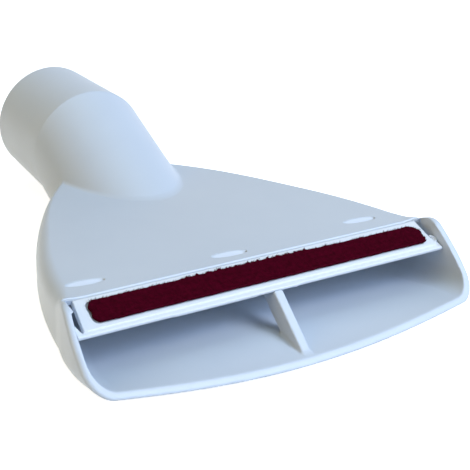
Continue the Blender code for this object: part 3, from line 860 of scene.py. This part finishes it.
class Shader:
    """A small helper that adds nodes to one material and links them."""

    def __init__(self, name):
        self.material = bpy.data.materials.new(name)
        self.material.use_nodes = True
        self.tree = self.material.node_tree
        self.principled = self.tree.nodes["Principled BSDF"]
        self.place = self.tree.nodes.new("ShaderNodeTexCoord").outputs["Object"]

    def link(self, a, b):
        self.tree.links.new(a, b)

    def noise(self, scale, detail, roughness):
        node = self.tree.nodes.new("ShaderNodeTexNoise")
        node.inputs["Scale"].default_value = scale
        node.inputs["Detail"].default_value = detail
        node.inputs["Roughness"].default_value = roughness
        self.link(self.place, node.inputs["Vector"])
        return node.outputs["Fac"]

    def lens_mask(self, centre, half_sizes):
        """1 well inside an ellipsoid round a place in millimetres, 0 outside it."""
        node = self.tree.nodes.new("ShaderNodeMapping")
        node.vector_type = "TEXTURE"
        node.inputs["Location"].default_value = [MM * c for c in centre]
        node.inputs["Rotation"].default_value = (0.0, 0.0, -RECESS_TURN)
        node.inputs["Scale"].default_value = [MM * c for c in half_sizes]
        self.link(self.place, node.inputs["Vector"])
        length = self.tree.nodes.new("ShaderNodeVectorMath")
        length.operation = "LENGTH"
        self.link(node.outputs["Vector"], length.inputs[0])
        fade = self.tree.nodes.new("ShaderNodeMapRange")
        fade.inputs["From Min"].default_value = RECESS_MASK_FADE[0]
        fade.inputs["From Max"].default_value = RECESS_MASK_FADE[1]
        fade.inputs["To Min"].default_value = 1.0
        fade.inputs["To Max"].default_value = 0.0
        self.link(length.outputs["Value"], fade.inputs["Value"])
        return fade.outputs["Result"]

    def lighten(self, colour, masks, light):
        """The colour, with a lighter one where any of the masks is 1."""
        for mask in masks:
            mix = self.tree.nodes.new("ShaderNodeMix")
            mix.data_type = "RGBA"
            self.link(mask, mix.inputs[MIX_FACTOR])
            self.link(colour, mix.inputs[MIX_FIRST])
            mix.inputs[MIX_SECOND].default_value = (*light, 1.0)
            colour = mix.outputs[MIX_RESULT]
        return colour

    def ramp(self, value, stops):
        """A colour between two stops (position, colour) along a value from 0 to 1."""
        node = self.tree.nodes.new("ShaderNodeValToRGB")
        for element, (position, colour) in zip(node.color_ramp.elements, stops):
            element.position = position
            element.color = (*colour, 1.0)
        self.link(value, node.inputs["Fac"])
        return node.outputs["Color"]

    def spread(self, value, low, high):
        """A value from 0 to 1 as one from low to high."""
        node = self.tree.nodes.new("ShaderNodeMapRange")
        node.inputs["To Min"].default_value = low
        node.inputs["To Max"].default_value = high
        self.link(value, node.inputs["Value"])
        return node.outputs["Result"]

    def bump(self, value, strength, distance):
        node = self.tree.nodes.new("ShaderNodeBump")
        node.inputs["Strength"].default_value = strength
        node.inputs["Distance"].default_value = distance
        self.link(value, node.inputs["Height"])
        self.link(node.outputs["Normal"], self.principled.inputs["Normal"])


def plastic(name, colours, rough, painted_recess_light=None):
    """Satin moulded plastic: faint patches of two colours, uneven gloss and a fine grain. When a
    painted-light colour is given, the recesses' floors are painted lighter as a painted highlight.
    """
    made = Shader(name)
    light, dark = colours
    low, high = PLASTIC_PATCH_ENDS
    colour = made.ramp(made.noise(*PLASTIC_PATCHES), ((low, dark), (high, light)))
    # Painted light: a lighter base colour inside each recess stands in for the light on its sloping floor
    if painted_recess_light:
        middles = [(x, u + GROOVE_Y, panel_height(u) - RECESS_MASK_DEPTH) for x, u in RECESSES]
        sizes = (RECESS_HALF_LENGTH, RECESS_HALF_WIDTH, RECESS_MASK_HALF_HEIGHT)
        masks = [made.lens_mask(middle, sizes) for middle in middles]
        colour = made.lighten(colour, masks, painted_recess_light)
    made.link(colour, made.principled.inputs["Base Color"])
    gloss = made.spread(made.noise(*PLASTIC_SMUDGES), rough - PLASTIC_SMOOTHER, rough + PLASTIC_ROUGHER)
    made.link(gloss, made.principled.inputs["Roughness"])
    made.bump(made.noise(*PLASTIC_GRAIN), PLASTIC_GRAIN_STRENGTH, PLASTIC_GRAIN_HEIGHT)
    made.principled.inputs["IOR"].default_value = PLASTIC_IOR
    return made.material


def velour(name):
    """Dense dark pile: clumps of two reds, next to no gloss, a faint sheen and a bump of fibres."""
    made = Shader(name)
    clumps = made.noise(*VELOUR_CLUMPS)
    stops = tuple(zip(VELOUR_CLUMP_ENDS, VELOUR_COLOURS))
    made.link(made.ramp(clumps, stops), made.principled.inputs["Base Color"])
    made.link(made.spread(clumps, *VELOUR_ROUGHNESS), made.principled.inputs["Roughness"])
    made.bump(made.noise(*VELOUR_FIBRES), VELOUR_FIBRE_STRENGTH, VELOUR_FIBRE_HEIGHT)
    made.principled.inputs["Sheen Weight"].default_value = VELOUR_SHEEN
    made.principled.inputs["Sheen Tint"].default_value = (*VELOUR_SHEEN_TINT, 1.0)
    made.principled.inputs["Specular IOR Level"].default_value = VELOUR_SPECULAR
    return made.material


def is_seen_directly(tree):
    """1 for rays from the camera, and for reflected and transmitted ones."""
    paths = tree.nodes.new("ShaderNodeLightPath")
    total = None
    for name in ("Is Camera Ray", "Is Glossy Ray", "Is Transmission Ray"):
        if total is None:
            total = paths.outputs[name]
            continue
        add = tree.nodes.new("ShaderNodeMath")
        add.operation = "MAXIMUM"
        tree.links.new(total, add.inputs[0])
        tree.links.new(paths.outputs[name], add.inputs[1])
        total = add.outputs[0]
    return total


def floor_material():
    """Plain white that keeps the object's shadow, and glows only where it is seen or reflected."""
    made = bpy.data.materials.new("floor_white")
    made.use_nodes = True
    tree = made.node_tree
    principled = tree.nodes["Principled BSDF"]
    principled.inputs["Base Color"].default_value = (*FLOOR_COLOUR, 1.0)
    principled.inputs["Roughness"].default_value = FLOOR_ROUGHNESS
    principled.inputs["Specular IOR Level"].default_value = FLOOR_SPECULAR
    glow = tree.nodes.new("ShaderNodeEmission")
    glow.inputs["Color"].default_value = (*WHITE, 1.0)
    scale = tree.nodes.new("ShaderNodeMath")
    scale.operation = "MULTIPLY"
    scale.inputs[1].default_value = FLOOR_GLOW
    tree.links.new(is_seen_directly(tree), scale.inputs[0])
    tree.links.new(scale.outputs[0], glow.inputs["Strength"])
    add = tree.nodes.new("ShaderNodeAddShader")
    tree.links.new(principled.outputs[0], add.inputs[0])
    tree.links.new(glow.outputs[0], add.inputs[1])
    tree.links.new(add.outputs[0], tree.nodes["Material Output"].inputs["Surface"])
    return made


def build_floor():
    """The studio floor, a grid just under the object."""
    places = np.linspace(-FLOOR_HALF, FLOOR_HALF, FLOOR_PARTS + 1)
    points = np.array([(x, y, FLOOR_Z) for y in places for x in places])
    row = FLOOR_PARTS + 1
    starts = [r * row + c for r in range(FLOOR_PARTS) for c in range(FLOOR_PARTS)]
    faces = np.array([(first, first + 1, first + row + 1, first + row) for first in starts])
    floor = bpy.data.objects.new("studio_floor", mesh_from("studio_floor", points, faces))
    bpy.context.scene.collection.objects.link(floor)
    floor.data.materials.append(floor_material())


def build_world():
    """A weak cool sky for the object, and plain white where the world is seen or reflected."""
    world = bpy.data.worlds.new("studio_world")
    bpy.context.scene.world = world
    world.use_nodes = True
    tree = world.node_tree
    background = tree.nodes["Background"]
    background.inputs["Color"].default_value = (*WORLD_COLOUR, 1.0)
    background.inputs["Strength"].default_value = WORLD_STRENGTH
    white = tree.nodes.new("ShaderNodeBackground")
    white.inputs["Color"].default_value = (*WHITE, 1.0)
    white.inputs["Strength"].default_value = 1.0
    mix = tree.nodes.new("ShaderNodeMixShader")
    tree.links.new(is_seen_directly(tree), mix.inputs[0])
    tree.links.new(background.outputs[0], mix.inputs[1])
    tree.links.new(white.outputs[0], mix.inputs[2])
    tree.links.new(mix.outputs[0], tree.nodes["World Output"].inputs["Surface"])


def build_lamp(name, place, side, power, colour):
    """A square softbox that faces the object."""
    data = bpy.data.lights.new(name, "AREA")
    data.shape = "RECTANGLE"
    data.size = side
    data.size_y = side
    data.energy = power
    data.color = colour
    lamp = bpy.data.objects.new(name, data)
    bpy.context.scene.collection.objects.link(lamp)
    lamp.location = place
    lamp.rotation_mode = "QUATERNION"
    lamp.rotation_quaternion = (Vector(LAMP_AIM) - Vector(place)).to_track_quat("-Z", "Y")


def build_camera():
    """The camera that was fitted to the photograph."""
    data = bpy.data.cameras.new("photo_camera")
    data.sensor_width = CAMERA_SENSOR
    data.lens = CAMERA_SENSOR * CAMERA_FOCUS_PIXELS / FRAME_PIXELS
    data.clip_start, data.clip_end = CAMERA_CLIP
    camera = bpy.data.objects.new("photo_camera", data)
    bpy.context.scene.collection.objects.link(camera)
    right, up = Vector(CAMERA_RIGHT).normalized(), Vector(CAMERA_UP)
    up = (up - right * up.dot(right)).normalized()
    back = right.cross(up)
    place = Vector(CAMERA_PLACE) + Vector((0.0, GROOVE_Y, 0.0))
    camera.matrix_world = Matrix.Translation(place * MM) @ Matrix((right, up, back)).transposed().to_4x4()
    bpy.context.scene.camera = camera


def build_body():
    """The moulded body, in place of its plain solid."""
    u_places, z_places = stepped(*BODY_U_GRID), stepped(*BODY_Z_GRID)
    body = build("moulded_body", body_distance, (grid(*BODY_X_GRID), u_places, z_places), BODY_TRIANGLES)
    body.data.materials.append(plastic("pale_plastic", BODY_COLOURS, BODY_ROUGHNESS, RECESS_PAINTED_LIGHT))
    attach(body, "root")
    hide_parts("nozzle_body")


def build_carrier():
    """The strip carrier, in place of its plain solid."""
    axes = [grid(*row) for row in CARRIER_GRID]
    carrier = build("clip_in_carrier", carrier_distance, axes, CARRIER_TRIANGLES, True)
    # The carrier's lighter colours are painted light, for its faces that tilt towards the lamps
    carrier.data.materials.append(plastic("white_plastic", CARRIER_COLOURS_WITH_PAINTED_LIGHT, CARRIER_ROUGHNESS))
    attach(carrier, "root")
    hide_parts("strip_carrier")


def build_velour():
    """The velour's backing, in place of its plain solid, and the pile on it."""
    fabric = velour("burgundy_velour")
    axes = [grid(*row) for row in VELOUR_GRID]
    pad = build("velour_backing", velour_distance, axes, VELOUR_TRIANGLES, True)
    pad.data.materials.append(fabric)
    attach(pad, "root")
    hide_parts("velour_strip")
    pile = build_pile(fabric)
    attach(pile, "root")


def main():
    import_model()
    build_camera()
    build_body()
    build_carrier()
    build_velour()
    build_floor()
    build_world()
    for name, (place, side, power, colour) in LAMPS.items():
        build_lamp(name, place, side, power, colour)
    bpy.context.scene.view_settings.view_transform = "Standard"


main()
